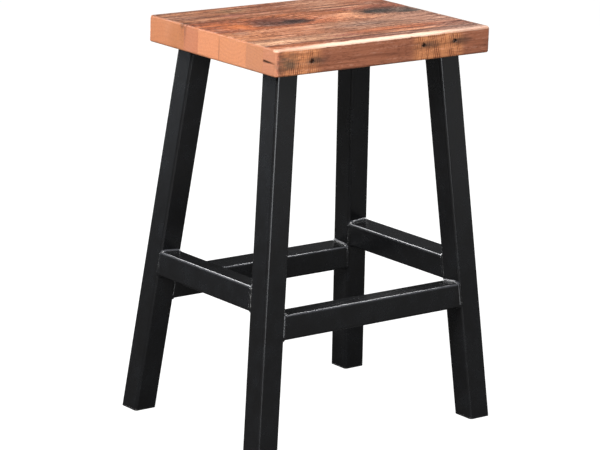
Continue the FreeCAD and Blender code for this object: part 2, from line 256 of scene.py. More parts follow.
def useGroup(group, inputs):
    made = inputs["Vector"].id_data.nodes.new("ShaderNodeGroup")
    made.node_tree = group
    for socket, value in inputs.items():
        feed(made.inputs[socket], value)
    return made.outputs


def emptyTree(owner):
    owner.use_nodes = True
    owner.node_tree.nodes.clear()
    return owner.node_tree


def newMaterial(name):
    material = bpy.data.materials.new(name)
    tree = emptyTree(material)
    skin = addNode(tree, "BsdfPrincipled")
    addNode(tree, "OutputMaterial", {"Surface": skin.outputs[0]})
    coords = addNode(tree, "TexCoord").outputs["Object"]
    return material, skin.inputs, coords


def bumped(skin, height, depth, strength):
    bump = after("Bump", {"Strength": strength, "Distance": depth, "Height": height})
    feed(skin["Normal"], bump.outputs[0])


# effects shared by the materials

def makeStainSpot():
    # a ragged patch about a place: full inside, fading out past its edge
    tree, given, out = newGroup("Stain spot", {
        "Centre": (0, 0, 0), "Radii": (0.01, 0.01, 0.01), "Ragged": 0.5, "Softness": 0.5}, ("Mask",))
    away = vectorMath("SUBTRACT", given["Vector"], given["Centre"])
    reach = vectorMath("LENGTH", vectorMath("DIVIDE", away, given["Radii"]))
    streaky = stretched(given["Vector"], (0.25, 1, 1))
    wander = minus(cloud(streaky, 220, 4, 0.6), 0.5)
    shape = plus(reach, times(wander, given["Ragged"]))
    inner = minus(1.0, given["Softness"])
    outer = plus(1.0, given["Softness"])
    feed(out["Mask"], fade(shape, inner, outer, 1.0, 0.0))
    return tree


figureValues = {
    # scales of the noise: low along the grain, high across it
    "driftScale": (0.12, 1, 1),
    "streakScale": (3, 60, 60),
    "grainScale": (14, 300, 300),
    "hairScale": (7, 190, 190),
    "poreScale": (60, 1100, 1100),
    "bend": 12.0,          # how many rings full waviness pushes aside
    "knotBend": 5.0,       # and how many a knot does
    "knotSwirl": 0.02,
}


def makeWoodFigure():
    # growth rings about an axis along X, hairline grain, broad streaks and open pores
    values = figureValues
    tree, given, out = newGroup("Wood figure", {
        "Pith": (0, 0, 0), "Ring Width": 0.004, "Waviness": 0.3, "Knot": 0.0},
        ("Rings", "Grain", "Pores", "Streaks", "Hairs"))
    fromPith = vectorMath("SUBTRACT", given["Vector"], given["Pith"])
    flat = vectorMath("MULTIPLY", fromPith, (0, 1, 1))
    radius = math2("DIVIDE", vectorMath("LENGTH", flat), given["Ring Width"])
    drift = minus(cloud(stretched(fromPith, values["driftScale"]), 15, 1), 0.5)
    bend = times(drift, times(given["Waviness"], values["bend"]))
    phase = plus(plus(radius, bend), times(given["Knot"], values["knotBend"]))
    sweep = math2("FRACT", phase)
    rise = fade(sweep, 0.25, 0.85)
    drop = fade(sweep, 0.90, 1.0, 1.0, 0.0)
    feed(out["Rings"], times(rise, drop))
    swirl = times(given["Knot"], values["knotSwirl"])
    bent = vectorMath("ADD", fromPith, after("CombineXYZ", {"Y": swirl}).outputs[0])
    feed(out["Grain"], cloud(stretched(bent, values["grainScale"]), 1.0, 6, 0.68))
    feed(out["Streaks"], cloud(stretched(bent, values["streakScale"]), 1.0, 4, 0.55))
    hairs = cloud(stretched(bent, values["hairScale"]), 1.0, 3, 0.6)
    feed(out["Hairs"], fade(hairs, 0.52, 0.62))
    dashes = cloud(stretched(bent, values["poreScale"]), 1.0, 2, 0.5)
    feed(out["Pores"], fade(dashes, 0.58, 0.68))
    return tree


def makeSawMarks():
    # upright tooth marks left by a saw, strong in some places and gone in others
    tree, given, out = newGroup("Saw marks", {"Pitch": 0.004, "Lean": 0.12}, ("Marks",))
    place = split(given["Vector"])
    along = minus(place["X"], times(place["Z"], given["Lean"]))
    shake = times(cloud(given["Vector"], 160, 2), 2.2 * mm)
    turns = math2("DIVIDE", plus(along, shake), given["Pitch"])
    wave = math2("SINE", times(turns, 2 * math.pi))
    uneven = fade(cloud(stretched(given["Vector"], (1, 1, 0.3)), 90, 3), 0.35, 0.65)
    level = times(plus(times(wave, 0.5), 0.5), uneven)
    feed(out["Marks"], level)
    return tree


def makeWeathered():
    # old sawn surface: sanded high spots stay pale, hollows keep their dark skin
    tree, given, out = newGroup("Weathered face", {"Lump": 0.003, "Cover": 0.5}, ("Hollows", "Height"))
    size = math2("DIVIDE", 1.0, given["Lump"])
    rough = cloud(stretched(given["Vector"], (0.4, 1.1, 1)), size, 4, 0.62)
    patchy = cloud(stretched(given["Vector"], (0.3, 1, 1)), 45, 3, 0.6)
    level = plus(rough, times(minus(patchy, 0.5), 0.35))
    edge = plus(0.30, times(given["Cover"], 0.3))
    low = minus(edge, 0.09)
    feed(out["Hollows"], fade(level, low, edge, 1.0, 0.0))
    feed(out["Height"], rough)
    return tree


def makeOuterArris():
    # 1 along the outer arrises of a block, ragged at its edges
    tree, given, out = newGroup("Outer arris", {
        "Centre": (0, 0, 0), "Half Size": (1, 1, 1), "Width": 0.003, "Ragged": 0.4}, ("Mask",))
    away = vectorMath("ABSOLUTE", vectorMath("SUBTRACT", given["Vector"], given["Centre"]))
    inward = split(vectorMath("SUBTRACT", given["Half Size"], away))
    near = []
    for axis in range(3):
        share = math2("DIVIDE", inward[axis], given["Width"])
        near.append(minus(1.0, share, clamp=True))
    pairs = [times(near[a], near[b]) for a, b in ((0, 1), (0, 2), (1, 2))]
    total = math2("MAXIMUM", math2("MAXIMUM", pairs[0], pairs[1]), pairs[2])
    wander = minus(cloud(given["Vector"], 160, 4, 0.6), 0.5)
    total = plus(total, times(wander, given["Ragged"]))
    feed(out["Mask"], fade(total, 0.15, 0.55))
    return tree


def makeOrangePeel():
    # the lumpy skin of a baked powder coat, and the dust that sits in it
    tree, given, out = newGroup("Orange peel", {"Lump": 0.0016}, ("Height", "Mottle", "Specks"))
    size = math2("DIVIDE", 1.0, given["Lump"])
    lumps = cloud(given["Vector"], size)
    grit = cloud(given["Vector"], 5200, 1)
    feed(out["Height"], plus(lumps, times(grit, 0.25)))
    feed(out["Mottle"], cloud(given["Vector"], 34, 4, 0.6))
    feed(out["Specks"], fade(cloud(given["Vector"], 1400, 2), 0.70, 0.78))
    return tree


stainSpot = makeStainSpot()
woodFigure = makeWoodFigure()
sawMarks = makeSawMarks()
weathered = makeWeathered()
outerArris = makeOuterArris()
orangePeel = makeOrangePeel()
print("shared effects made")


# seat boards

boardNodes = [f"seat_board_{number}" for number in range(1, 7)]
seatLow = Vector(map(min, *(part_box(node)[0] for node in boardNodes)))
seatHigh = Vector(map(max, *(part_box(node)[1] for node in boardNodes)))

seatValues = {
    "cornerRadius": 5 * mm,
    "rimRadius": 3 * mm,
    "glueGroove": 0.3 * mm,     # how far each board's arris is eased at a glue line
    "step": 4 * mm,             # mesh spacing
    "frontStep": 0.95 * mm,     # finer along the front board, for its saw marks
    "sandingWave": 0.30 * mm,
    "sawDepth": 0.10 * mm,
    "sawPitch": 3.8 * mm,
    "sawLean": 0.12,
    "sawFade": 8 * mm,          # over which the marks die away at the ends of their stretches
    "sawSoft": 10 * mm,         # and over which their paler wood does
    "rimWear": 1.1 * mm,
    # x, height and mouth radius in mm
    "nailHoles": ((-137, 588, 2.0), (72, 592, 1.9), (132, 593.5, 2.1)),
    "nailDepth": 12 * mm,
    "cracks": (((-0.130, 0.5895), (7 * mm, 10 * mm, 1.1 * mm)),      # in the left end: (y, z), radii
               ((-0.143, 0.5885), (4 * mm, 9 * mm, 0.5 * mm))),
    "crackTurn": 0.06,
    "chip": 0.0632,             # y of the chip in the left end's top arris
    "chipRadii": (4 * mm, 3.5 * mm, 3 * mm),
}

# where the saw marks survive along the front edge: (from x, to x), in metres
sawnStretches = ((-0.190, -0.124), (0.055, 0.146))

# each board: pith is the centre of its growth rings (y, z), and tones run from the left end to the right.
# Stains and knots are (colour, centre, radii, ragged, softness, strength), and grain swirls round knots
woods = {
    "seat_board_1": {
        "pith": (-0.150, 0.530), "ringWidth": 0.0052, "waviness": 0.22, "contrast": 0.40,
        "tones": ((156, 92, 58), (120, 70, 50), (128, 82, 64), (154, 112, 92), (154, 118, 102)),
        "endTone": (150, 99, 74),
    },
    "seat_board_2": {
        "pith": (-0.075, 0.500), "ringWidth": 0.0045, "waviness": 0.25, "contrast": 0.30,
        "tones": ((194, 148, 116), (164, 120, 92), (146, 98, 72), (186, 126, 92), (166, 116, 94)),
        "endTone": (150, 100, 72),
        "stains": (
            ((162, 84, 44), (0.070, -0.098), (0.085, 0.011), 1.2, 0.6, 0.5),
            ((104, 66, 54), (0.060, -0.079), (0.130, 0.004), 1.2, 0.6, 0.6),
            ((134, 70, 58), (-0.040, -0.108), (0.030, 0.006), 1.0, 0.6, 0.5),
        ),
    },
    "seat_board_3": {
        "pith": (-0.035, 0.660), "ringWidth": 0.0060, "waviness": 0.35, "contrast": 0.32,
        "tones": ((178, 118, 80), (174, 116, 84), (158, 110, 82), (148, 104, 80), (160, 118, 98)),
        "endTone": (164, 108, 76),
        "stains": (
            ((104, 86, 78), (0.045, -0.052), (0.060, 0.016), 1.4, 0.8, 0.5),
            ((116, 62, 42), (0.075, -0.024), (0.022, 0.006), 1.0, 0.6, 0.5),
            ((138, 108, 96), (-0.168, -0.028), (0.014, 0.010), 1.0, 0.8, 0.5),
            ((56, 30, 20), (-0.202, -0.0190, 0.588), (0.008, 0.0011, 0.018), 0.2, 0.4, 0.7),
        ),
    },
    "seat_board_4": {
        "pith": (0.010, 0.520), "ringWidth": 0.0058, "waviness": 0.45, "contrast": 0.42,
        "tones": ((156, 90, 58), (184, 106, 60), (176, 106, 70), (212, 152, 114), (154, 114, 94)),
        "endTone": (168, 110, 78),
        "stains": (
            ((178, 98, 46), (-0.132, 0.012), (0.036, 0.016), 0.9, 0.5, 0.7),
        ),
        "knots": (
            ((78, 40, 30), (-0.066, 0.016), (0.054, 0.029, 0.04), 1.1, 0.35, 0.88),
            ((40, 18, 14), (-0.036, 0.011), (0.026, 0.013, 0.04), 1.0, 0.5, 0.92),
            ((62, 44, 38), (0.146, 0.021), (0.056, 0.021, 0.04), 1.2, 0.40, 0.90),
            ((26, 20, 18), (0.128, 0.024), (0.028, 0.013), 1.0, 0.5, 0.90),
            ((52, 50, 46), (0.178, 0.003), (0.024, 0.008), 1.0, 0.6, 0.85),
        ),
    },
    "seat_board_5": {
        "pith": (0.050, 0.640), "ringWidth": 0.0050, "waviness": 0.30, "contrast": 0.38,
        "tones": ((162, 90, 50), (158, 92, 56), (166, 102, 66), (174, 112, 76), (162, 102, 78)),
        "endTone": (152, 96, 70),
        "stains": (
            ((92, 48, 28), (-0.150, 0.066), (0.075, 0.005), 1.2, 0.6, 0.7),
            ((150, 78, 66), (0.085, 0.062), (0.020, 0.008), 1.0, 0.8, 0.5),
        ),
        "knots": (
            ((88, 44, 30), (-0.072, 0.040), (0.034, 0.014, 0.04), 1.1, 0.45, 0.75),
            ((54, 40, 34), (0.140, 0.036), (0.050, 0.009, 0.04), 1.2, 0.6, 0.80),
        ),
    },
    "seat_board_6": {
        "pith": (0.112, 0.500), "ringWidth": 0.0064, "waviness": 0.40, "contrast": 0.38,
        "tones": ((148, 98, 68), (142, 90, 62), (148, 94, 66), (178, 130, 102), (160, 104, 76)),
        "endTone": (156, 100, 68),
        "stains": (
            ((104, 54, 30), (-0.150, 0.073), (0.060, 0.005), 1.2, 0.6, 0.7),
            ((118, 92, 62), (-0.075, 0.122), (0.024, 0.012), 1.2, 0.8, 0.6),
            ((156, 116, 96), (-0.170, 0.108), (0.026, 0.012), 1.2, 0.8, 0.5),
            ((116, 66, 42), (0.000, 0.135), (0.040, 0.010), 1.2, 0.8, 0.6),
            ((150, 94, 82), (-0.095, 0.090), (0.018, 0.008), 1.2, 0.8, 0.5),
            ((138, 88, 56), (-0.202, 0.084, 0.584), (0.010, 0.020, 0.022), 0.8, 0.5, 0.6),
            ((50, 26, 18), (-0.198, 0.0715, 0.609), (0.010, 0.005, 0.005), 1.0, 0.6, 0.8),
        ),
    },
}

grainDark = (146, 112, 100)

# colours laid over the wood, each with its strength
faceTones = {
    "handled": ((132, 82, 54), 0.45),      # painted shade on the ends' top arrises, against the light they catch
    "cream": ((224, 188, 166), 0.9),       # front top arris: sanded pale wood, lightened further as a painted highlight
    "underside": ((128, 88, 62), 0.7),
    "crack": ((46, 22, 16), 0.85),
    "nailStain": ((50, 42, 38), 0.72),
    "nailHole": ((14, 11, 10), 0.95),
    "damp": ((74, 66, 54), 0.75),          # grey stain at the front left
    "pale": ((232, 208, 190), 0.34),       # pale worn fibres between the dark ones, on the high spots, brightened as painted glints
}

# colours that the wood is multiplied by
faceShades = {
    "streaks": (grainDark, 0.55),
    "hairs": (grainDark, 0.7),
    "endRings": (grainDark, 0.10),
    "frontStreaks": (grainDark, 0.22),
    "pores": ((104, 78, 68), 0.5),
    "hollows": ((146, 118, 108), 0.9),
    "kerfs": ((140, 98, 80), 1.0),
    "glueLine": ((92, 62, 50), 0.75),
}

faceValues = {
    "frontLight": (206, 136, 90),    # front edge where the saw marks are
    "frontDark": (150, 92, 66),
    "lump": 2.8 * mm,                # size of the weathered texture
    "cover": 0.55,                   # how much of it is hollows
    "relief": 0.30,                  # heights in mm: the weathered lumps,
    "grainRelief": 0.07,
    "poreDepth": 0.08,
    "ringRelief": 0.02,
    "kerfDepth": 0.12,
    "tonePush": 0.20,                # how far streaks push the tones about
    "grainBright": (0.66, 1.40),     # what the grain multiplies the wood by, dark to light
    "endGrain": 0.25,                # how much of that is left on the ends
    "frontCover": 0.65,              # how much less worn the front is
    "roughness": (0.62, 0.42),       # hollows, then high spots
    "specular": 0.35,
}


def toned(colour, name, mask):
    # lays one of the tones over a colour, or multiplies it by one of the shades
    shade = name in faceShades
    tone, strength = faceShades[name] if shade else faceTones[name]
    blend = "MULTIPLY" if shade else "MIX"
    return mixColor(times(mask, strength), colour, paint(*tone), blend)


spotHeight = 0.61
spotReach = 0.03


def spotMask(coords, centre, radii, ragged, softness):
    # a spot on the top may leave out its height and its radius upwards
    place = (*centre, spotHeight)[:3]
    reach = (*radii, spotReach)[:3]
    return useGroup(stainSpot, {"Vector": coords, "Centre": place, "Radii": reach,
                                "Ragged": ragged, "Softness": softness})["Mask"]


def wornArrises(coords, place, colour):
    # the top's arrises get painted shade against the light they catch, but the front one is sanded down
    # to pale wood and carries a painted highlight
    middle, half = (seatLow + seatHigh) / 2, (seatHigh - seatLow) / 2
    arris = useGroup(outerArris, {"Vector": coords, "Centre": middle, "Half Size": half,
                                  "Width": 5 * mm, "Ragged": 0.6})["Mask"]
    upper = times(arris, fade(place["Z"], seatHigh.z - 8 * mm, seatHigh.z - 5 * mm))
    colour = toned(colour, "handled", upper)
    nearFront = fade(place["Y"], seatLow.y + 6 * mm, seatLow.y + 15 * mm, 1.0, 0.0)
    nearTop = fade(place["Z"], seatHigh.z - 5.5 * mm, seatHigh.z - 2.5 * mm)
    ragged = minus(cloud(stretched(coords, (0.25, 1, 1)), 240, 5, 0.7), 0.5)
    swell = minus(cloud(stretched(coords, (1, 0.2, 0.2)), 34, 2), 0.5)
    band = plus(times(nearFront, nearTop), times(ragged, 1.8))
    band = fade(plus(band, times(swell, 0.9)), 0.42, 0.85)
    leftEnd = fade(place["X"], -0.185, -0.085, 0.45, 1.0)
    rightEnd = fade(place["X"], 0.070, 0.160, 1.0, 0.40)
    band = times(band, times(leftEnd, rightEnd))
    return toned(colour, "cream", band)


def frontFace(coords, place, colour, dark):
    # lighter where it still shows the saw, redder where it was planed
    # returns the colour and the masks of the marks and of the face
    onFront = fade(place["Y"], seatLow.y + 0.6 * mm, seatLow.y + 3.5 * mm, 1.0, 0.0)
    blotch = cloud(stretched(coords, (0.4, 1, 1)), 60, 4)
    sawn = 0.0
    soft = seatValues["sawSoft"]
    for first, last in sawnStretches:
        rise = fade(place["X"], first - soft, first + soft)
        fall = fade(place["X"], last - soft, last + soft, 1.0, 0.0)
        sawn = plus(sawn, times(rise, fall))
    sawn = times(sawn, fade(blotch, 0.2, 0.45))
    marks = useGroup(sawMarks, {"Vector": coords, "Pitch": seatValues["sawPitch"],
                                "Lean": seatValues["sawLean"]})["Marks"]
    face = mixColor(sawn, paint(*faceValues["frontDark"]), paint(*faceValues["frontLight"]))
    face = toned(face, "frontStreaks", dark)
    cut = times(marks, sawn)
    face = toned(face, "kerfs", cut)
    return mixColor(onFront, colour, face), times(cut, onFront), onFront


# spots on the front and left faces: tone, centre, radii, ragged, softness, with a nail's round its hole
nailSpots = (
    ("nailStain", Vector((9, 0, 0)) * mm, Vector((18, 6, 5)) * mm, 1.8, 0.9),
    ("nailHole", Vector((0, 0, 0)), Vector((4.2, 4, 2.6)) * mm, 0.8, 0.6),
)
endSpots = (
    ("damp", (-0.180, seatLow.y, 0.588), (16 * mm, 7 * mm, 9 * mm), 2.8, 0.9),
    ("crack", (seatLow.x, -0.1305, 0.5895), (5 * mm, 15 * mm, 1.8 * mm), 0.6, 0.6),
)


def frontStains(coords, colour):
    # iron stains round the nail holes, damp at the left end, and the crack in the end grain
    spots = []
    for hole in seatValues["nailHoles"]:
        heart = Vector((hole[0] * mm, seatLow.y, hole[1] * mm))
        spots += [(tone, heart + shift, *rest) for tone, shift, *rest in nailSpots]
    spots += endSpots
    for tone, *spot in spots:
        colour = toned(colour, tone, spotMask(coords, *spot))
    return colour


def boardMaterial(name, wood):
    material, skin, coords = newMaterial("Wood " + name)
    place = split(coords)
    values = faceValues
    swirl = 0.0
    for knot in wood.get("knots", ()):
        centre, radii, ragged = knot[1:4]
        wider = [radius * 1.6 for radius in (*radii, spotReach)[:3]]
        pull = spotMask(coords, centre, wider, ragged * 0.5, 0.9)
        swirl = plus(swirl, pull)
    figure = useGroup(woodFigure, {"Vector": coords, "Pith": (0, *wood["pith"]), "Knot": swirl,
                                   "Ring Width": wood["ringWidth"], "Waviness": wood["waviness"]})
    skinMarks = useGroup(weathered, {"Vector": coords, "Lump": values["lump"],
                                     "Cover": values["cover"]})

    # long tones from end to end, pushed about by the streaks
    push = times(minus(figure["Streaks"], 0.5), values["tonePush"])
    across = spread(place["X"], seatLow.x, seatHigh.x)
    tones = wood["tones"]
    stops = [((number + 0.5) / len(tones), paint(*tone)) for number, tone in enumerate(tones)]
    colour = ramp(plus(across, push), stops)
    dark = fade(figure["Streaks"], 0.44, 0.66)
    colour = toned(colour, "streaks", dark)
    rings = times(figure["Rings"], wood["contrast"])
    colour = mixColor(rings, colour, paint(*grainDark), "MULTIPLY")

    isFront = name == "seat_board_1"
    if isFront:
        colour, cut, onFront = frontFace(coords, place, colour, dark)

    # underside as it came from the saw
    under = fade(place["Z"], seatLow.z + 0.4 * mm, seatLow.z + 1.6 * mm, 1.0, 0.0)
    colour = toned(colour, "underside", under)

    # thin dark lines where two boards meet
    low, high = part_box(name)
    for joint in (low.y, high.y):
        if seatLow.y + mm < joint < seatHigh.y - mm:
            away = math2("ABSOLUTE", minus(place["Y"], joint))
            colour = toned(colour, "glueLine", fade(away, 0.3 * mm, 0.9 * mm, 1.0, 0.0))

    # sawn ends, with faint rings
    onEnd = fade(math2("ABSOLUTE", place["X"]), seatHigh.x - 2.2 * mm, seatHigh.x - 0.7 * mm)
    notEnd = minus(1.0, onEnd)
    worn = minus(notEnd, times(onFront, values["frontCover"]), clamp=True) if isFront else notEnd
    ends = toned(paint(*wood["endTone"]), "endRings", figure["Rings"])
    colour = mixColor(onEnd, colour, ends)

    for tone, *spot, strength in wood.get("stains", ()) + wood.get("knots", ()):
        mask = spotMask(coords, *spot)
        colour = mixColor(times(mask, strength), colour, paint(*tone))

    # dark skin left in the hollows, then hairs, grain, pale fibres with painted glints, and pores; the
    # ends stay clean
    colour = toned(colour, "hollows", times(skinMarks["Hollows"], worn))
    colour = toned(colour, "hairs", times(figure["Hairs"], worn))
    bright = spread(figure["Grain"], 0.3, 0.7, *values["grainBright"])
    tint = after("CombineColor", {0: bright, 1: bright, 2: bright}).outputs[0]
    grained = mixColor(1.0, colour, tint, "MULTIPLY")
    colour = mixColor(spread(worn, low=values["endGrain"]), colour, grained)
    fibreGlints = times(fade(figure["Grain"], 0.50, 0.66), worn)
    fibreGlints = times(fibreGlints, fade(skinMarks["Height"], 0.42, 0.60))
    colour = toned(colour, "pale", fibreGlints)
    colour = toned(colour, "pores", figure["Pores"])
    colour = wornArrises(coords, place, colour)
    if isFront:
        colour = frontStains(coords, colour)
    feed(skin["Base Color"], colour)

    feed(skin["Roughness"], spread(skinMarks["Height"], 0.3, 0.7, *values["roughness"]))
    skin["Specular IOR Level"].default_value = values["specular"]

    height = times(times(skinMarks["Height"], notEnd), values["relief"])
    height = plus(height, times(figure["Grain"], values["grainRelief"]))
    height = minus(height, times(figure["Pores"], values["poreDepth"]))
    height = minus(height, times(figure["Rings"], values["ringRelief"]))
    if isFront:
        height = minus(height, times(cut, values["kerfDepth"]))
    bumped(skin, height, 1 * mm, 1.0)
    return material


def seatBlank():
    bm = block(seatLow, seatHigh)
    corner = seatValues["cornerRadius"]
    upright = [e for e in bm.edges if abs(e.verts[0].co.z - e.verts[1].co.z) > corner]
    roundEdges(bm, upright, corner, 6)
    rims = [e for e in bm.edges if abs(e.verts[0].co.z - e.verts[1].co.z) < 0.01 * mm]
    roundEdges(bm, rims, seatValues["rimRadius"], 4)
    return bm


def wearBoard(bm):
    # long sanding hollows on top, a worn front arris, and saw marks; the underside stays flat
    bm.normal_update()
    values = seatValues
    moves = []
    for vert in bm.verts:
        spot, facing = vert.co, vert.normal
        if spot.z < seatLow.z + 1.5 * mm:
            continue
        wave = noise.fractal(Vector((spot.x * 9, spot.y * 55, spot.z * 40)), 1.0, 2.0, 3)
        fall = values["sandingWave"] * (0.5 - 0.5 * wave) * max(facing.z, 0.0)
        if facing.z > 0 > facing.y and spot.y < seatLow.y + values["rimRadius"]:
            worn = 0.5 + 0.5 * noise.noise(Vector((spot.x * 30, 0, 7)))
            fall += values["rimWear"] * worn * min(facing.z, -facing.y)
        if facing.y < -0.95:
            for first, last in sawnStretches:
                if first < spot.x < last:
                    turns = (spot.x - spot.z * values["sawLean"]) / values["sawPitch"]
                    tooth = 0.5 + 0.5 * math.sin(2 * math.pi * turns)
                    edge = min(1.0, (spot.x - first) / values["sawFade"],
                               (last - spot.x) / values["sawFade"])
                    fall += values["sawDepth"] * tooth * edge
        moves.append((vert, facing * -fall))
    for vert, move in moves:
        vert.co += move


def nailHole(x, height, mouth):
    # a tapered, slightly ragged hole going in from the front edge
    depth = seatValues["nailDepth"]
    bm = bmesh.new()
    bmesh.ops.create_cone(bm, cap_ends=True, segments=14, radius1=mouth * mm * 1.35, radius2=1.2 * mm,
                          depth=depth + 1 * mm, matrix=Matrix.Rotation(-math.pi / 2, 4, "X"))
    for vert in bm.verts:
        vert.co.x *= random.uniform(1.0, 1.35)
        vert.co.z *= random.uniform(0.8, 1.1)
    bmesh.ops.translate(bm, vec=(x * mm, seatLow.y + depth / 2 - 0.5 * mm, height * mm), verts=bm.verts)
    return bm


def hollow(centre, radii, turn=0.0):
    # a lens-shaped chip or crack
    bm = bmesh.new()
    bmesh.ops.create_icosphere(bm, subdivisions=3, radius=1)
    for vert in bm.verts:
        vert.co *= 1 + 0.15 * noise.noise(vert.co * 2.5)
    bmesh.ops.scale(bm, vec=radii, verts=bm.verts)
    bmesh.ops.rotate(bm, cent=(0, 0, 0), matrix=Matrix.Rotation(turn, 3, "X"), verts=bm.verts)
    bmesh.ops.translate(bm, vec=centre, verts=bm.verts)
    return bm


def makeBoards():
    blank = seatBlank()
    for node in boardNodes:
        low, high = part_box(node)
        bm = blank.copy()
        joints = []
        if low.y > seatLow.y + mm:
            joints.append((low.y, -1))
        if high.y < seatHigh.y - mm:
            joints.append((high.y, 1))
        arrises = []
        for y, side in joints:
            trim(bm, (0, y, 0), (0, side, 0), "fill")
        for y, side in joints:
            arrises += [e for e in bm.edges if all(abs(v.co.y - y) < 0.001 * mm for v in e.verts)]
        roundEdges(bm, arrises, seatValues["glueGroove"], 1)
        step = seatValues["step"]
        sliceUp(bm, 2, low.z, high.z, step)
        sliceUp(bm, 1, low.y, high.y, step)
        sliceUp(bm, 0, low.x, high.x, seatValues["frontStep"] if node == "seat_board_1" else step)
        wearBoard(bm)
        if node == "seat_board_1":
            cutters = [nailHole(*hole) for hole in seatValues["nailHoles"]]
            for (y, z), radii in seatValues["cracks"]:
                cutters.append(hollow((seatLow.x, y, z), radii, seatValues["crackTurn"]))
            carve(bm, cutters)
        if node == "seat_board_5":
            chip = (seatLow.x - 0.5 * mm, seatValues["chip"], seatHigh.z - 1 * mm)
            carve(bm, [hollow(chip, seatValues["chipRadii"])])
        finishPiece(bm, "board_" + node[-1], boardMaterial(node, woods[node]), [node])
        print(node, "made")
    blank.free()


makeBoards()


# powder-coated steel

coatValues = {
    "black": (12, 12, 13),
    "dusty": (15, 16, 18),
    "arrisHighlight": (62, 63, 67),      # painted highlight along the upper arrises, where they face half up and half sideways
    "roughness": (0.245, 0.285),
    "arrisHighlightRoughness": 0.17,
    "lump": 1.5 * mm,
    "peelDepth": 0.035 * mm,
    "specular": 0.45,
    "specks": (90, 92, 96),
    "speckAmount": 0.25,
    "upward": (0.30, 0.55),      # how far up and sideways a normal leans on an arris with the painted highlight
}
# the weld beads carry the same painted highlight on their upward, sideways-facing parts
weldCoatValues = {**coatValues, "roughness": (0.20, 0.28), "specular": 0.60}


def coatMaterial(name, values):
    material, skin, coords = newMaterial(name)
    peel = useGroup(orangePeel, {"Vector": coords, "Lump": values["lump"]})
    mottle = fade(peel["Mottle"], 0.35, 0.70)
    colour = mixColor(mottle, paint(*values["black"]), paint(*values["dusty"]))
    specks = times(peel["Specks"], values["speckAmount"])
    colour = mixColor(specks, colour, paint(*values["specks"]))

    # an upper arris faces half up and half sideways; its colour is lightened there as a painted highlight
    facing = split(coords.node.outputs["Normal"])
    eastWest, northSouth = (math2("ABSOLUTE", facing[axis]) for axis in "XY")
    sideways = math2("MAXIMUM", eastWest, northSouth)
    arrisHighlight = times(fade(facing["Z"], *values["upward"]), fade(sideways, *values["upward"]))
    arrisHighlight = times(arrisHighlight, fade(peel["Mottle"], 0.25, 0.60, 0.6, 1.0))
    feed(skin["Base Color"], mixColor(arrisHighlight, colour, paint(*values["arrisHighlight"])))
    rough = spread(peel["Mottle"], 0.3, 0.7, *values["roughness"])
    feed(skin["Roughness"], spread(arrisHighlight, low=rough, high=values["arrisHighlightRoughness"]))
    skin["Specular IOR Level"].default_value = values["specular"]
    bumped(skin, peel["Height"], values["peelDepth"], 0.6)
    return material


coat = coatMaterial("Black powder coat", coatValues)
weldCoat = coatMaterial("Powder coat over weld", weldCoatValues)

tubeValues = {
    "side": 38.1 * mm,
    "wall": 2.1 * mm,
    "cornerRadius": 4.4 * mm,
    "cornerSegments": 7,
    "deburr": 0.5 * mm,
    "spare": 30 * mm,          # cut off again at both ends
}

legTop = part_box("leg_front_left")[1].z
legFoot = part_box("leg_front_left")[0].z


Leg = namedtuple("Leg", "foot top across deep along")
Rail = namedtuple("Rail", "middle along outward up")


def legAxes(corner):
    # a leg's centre at the foot and the top, and its three directions: outward X, outward Y and along
    foot = levelCentre("leg_" + corner, legFoot)
    top = levelCentre("leg_" + corner, legTop)
    along = (top - foot).normalized()
    across = Vector((0, 1, 0)).cross(along).normalized()
    return Leg(foot, top, across, along.cross(across), along)


def tubeLength(start, end, across, deep, along):
    # hollow square tube with open ends from start to end, its faces towards across and deep
    values = tubeValues
    half = Vector((values["side"], values["side"], (end - start).length)) / 2
    bm = block(-half, half)
    long = [e for e in bm.edges if abs(e.verts[0].co.z - e.verts[1].co.z) > values["side"]]
    roundEdges(bm, long, values["cornerRadius"], values["cornerSegments"])
    bmesh.ops.delete(bm, geom=[f for f in bm.faces if abs(f.normal.z) > 0.9], context="FACES")
    bmesh.ops.solidify(bm, geom=bm.faces[:], thickness=values["wall"])
    turn = Matrix((across, deep, along)).transposed().to_4x4()
    bm.transform(Matrix.Translation((start + end) / 2) @ turn)
    return bm


def makeLegs():
    for corner in corners:
        leg = legAxes(corner)
        spare = leg.along * tubeValues["spare"]
        bm = tubeLength(leg.foot - spare, leg.top + spare, leg.across, leg.deep, leg.along)
        trim(bm, leg.top, Vector((0, 0, 1)), "bridge")
        rim = trim(bm, leg.foot, Vector((0, 0, -1)), "bridge")
        roundEdges(bm, [e for e in rim if e.is_valid], tubeValues["deburr"], 2)
        finishPiece(bm, "leg_tube_" + corner, coat, ["leg_" + corner])
    print("legs made")


railEnds = {
    "front": ("front_left", "front_right"), "back": ("back_left", "back_right"),
    "left": ("front_left", "back_left"), "right": ("front_right", "back_right"),
}


def railFrame(rail):
    # a rail's middle and directions: along it, outward, and up its outer face
    low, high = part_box("rail_" + rail)
    along = Vector((1, 0, 0)) if rail in ("front", "back") else Vector((0, 1, 0))
    legAlong = legAxes(railEnds[rail][0]).along
    up = (legAlong - along * legAlong.dot(along)).normalized()
    return Rail((low + high) / 2, along, up.cross(along), up)


def legFace(rail, corner):
    # the point where a rail's centre line meets the leg's inner face, and that face's direction
    middle = railFrame(rail).middle
    leg = legAxes(corner)
    facing = leg.across if rail in ("front", "back") else leg.deep
    if facing.dot(middle - leg.foot) < 0:
        facing = -facing
    onFace = leg.foot + facing * tubeValues["side"] / 2
    point = geometry.intersect_line_plane(middle, middle + railFrame(rail).along, onFace, facing)
    return point, facing


def makeRails():
    for rail, ends in railEnds.items():
        tube = railFrame(rail)
        faces = [legFace(rail, corner) for corner in ends]
        spare = tube.along * tubeValues["spare"]
        bm = tubeLength(faces[0][0] - spare, faces[1][0] + spare, tube.outward, tube.up, tube.along)
        for point, facing in faces:
            trim(bm, point, -facing, "bridge")
        finishPiece(bm, "rail_tube_" + rail, coat, ["rail_" + rail])
    print("rails made")


makeLegs()
makeRails()


# welds

